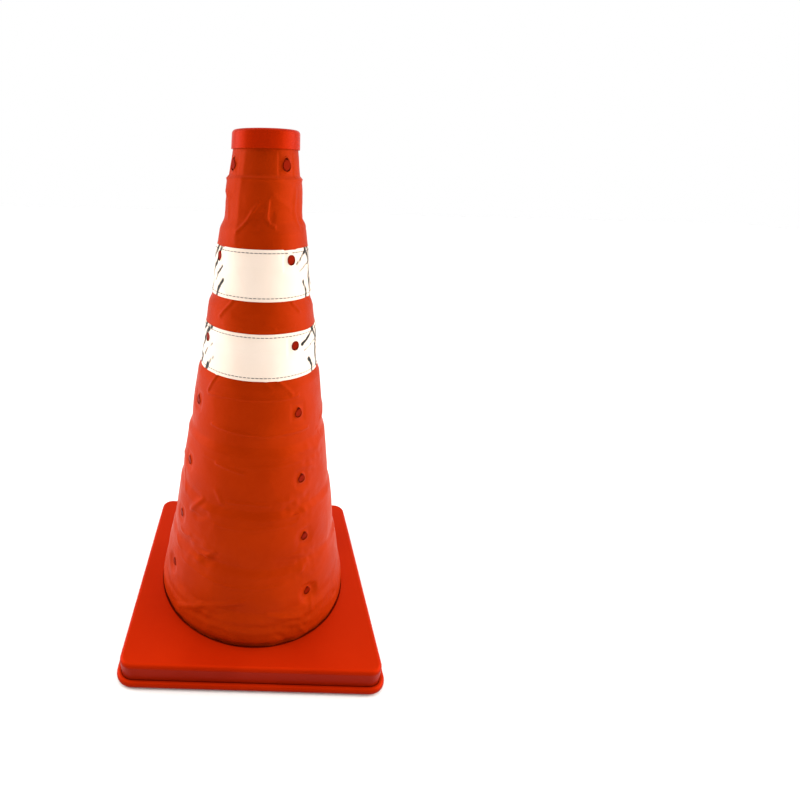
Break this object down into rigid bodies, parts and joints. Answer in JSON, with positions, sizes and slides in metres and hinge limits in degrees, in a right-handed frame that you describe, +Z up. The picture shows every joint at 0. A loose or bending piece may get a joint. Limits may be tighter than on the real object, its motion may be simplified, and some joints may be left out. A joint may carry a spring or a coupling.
{
  "type": "collapsible traffic cone",
  "caption": "Pop-up traffic cone: a flat square base, nested sliding rings under a bright cloth sleeve with two reflective bands, and a capped top with a hole.",
  "frame": {"origin": "middle of the base's underside, on the ground", "axes": "+Z up along the cone's axis, -Y the front, +X to the right"},
  "size_m": [0.25, 0.25, 0.4495],
  "materials": {
    "moulded_orange": "satin moulded plastic",
    "sleeve_cloth": "coated woven polyester",
    "reflective_tape": "glass-bead retroreflective tape",
    "screw_steel": "zinc plated",
    "pad_rubber": "matt rubber"
  },
  "bodies": {
    "base": {"base_shell": "moulded_orange", "base_tray": "moulded_orange", "base_collar": "moulded_orange", "collar_screws": "screw_steel", "tray_screws": "screw_steel", "foot_pads": "pad_rubber", "sleeve_hem": "sleeve_cloth"},
    "tier_1": {"ring_1": "moulded_orange", "sleeve_1": "sleeve_cloth", "top_cap": "moulded_orange"},
    "tier_2": {"ring_2": "moulded_orange", "sleeve_2": "sleeve_cloth", "upper_band": "reflective_tape"},
    "tier_3": {"ring_3": "moulded_orange", "sleeve_3": "sleeve_cloth", "lower_band": "reflective_tape"},
    "tier_4": {"ring_4": "moulded_orange", "sleeve_4": "sleeve_cloth"},
    "tier_5": {"ring_5": "moulded_orange", "sleeve_5": "sleeve_cloth"},
    "tier_6": {"ring_6": "moulded_orange", "sleeve_6": "sleeve_cloth"},
    "tier_7": {"ring_7": "moulded_orange", "sleeve_7": "sleeve_cloth"}
  },
  "joints": [
    {"name": "tier_7_slide", "type": "slide", "parent": "base", "child": "tier_7", "axis": [0, 0, 1], "range_m": [-0.0332, 0]},
    {"name": "tier_6_slide", "type": "slide", "parent": "tier_7", "child": "tier_6", "axis": [0, 0, 1], "range_m": [-0.057, 0]},
    {"name": "tier_5_slide", "type": "slide", "parent": "tier_6", "child": "tier_5", "axis": [0, 0, 1], "range_m": [-0.057, 0]},
    {"name": "tier_4_slide", "type": "slide", "parent": "tier_5", "child": "tier_4", "axis": [0, 0, 1], "range_m": [-0.057, 0]},
    {"name": "tier_3_slide", "type": "slide", "parent": "tier_4", "child": "tier_3", "axis": [0, 0, 1], "range_m": [-0.057, 0]},
    {"name": "tier_2_slide", "type": "slide", "parent": "tier_3", "child": "tier_2", "axis": [0, 0, 1], "range_m": [-0.057, 0]},
    {"name": "tier_1_slide", "type": "slide", "parent": "tier_2", "child": "tier_1", "axis": [0, 0, 1], "range_m": [-0.057, 0]}
  ]
}
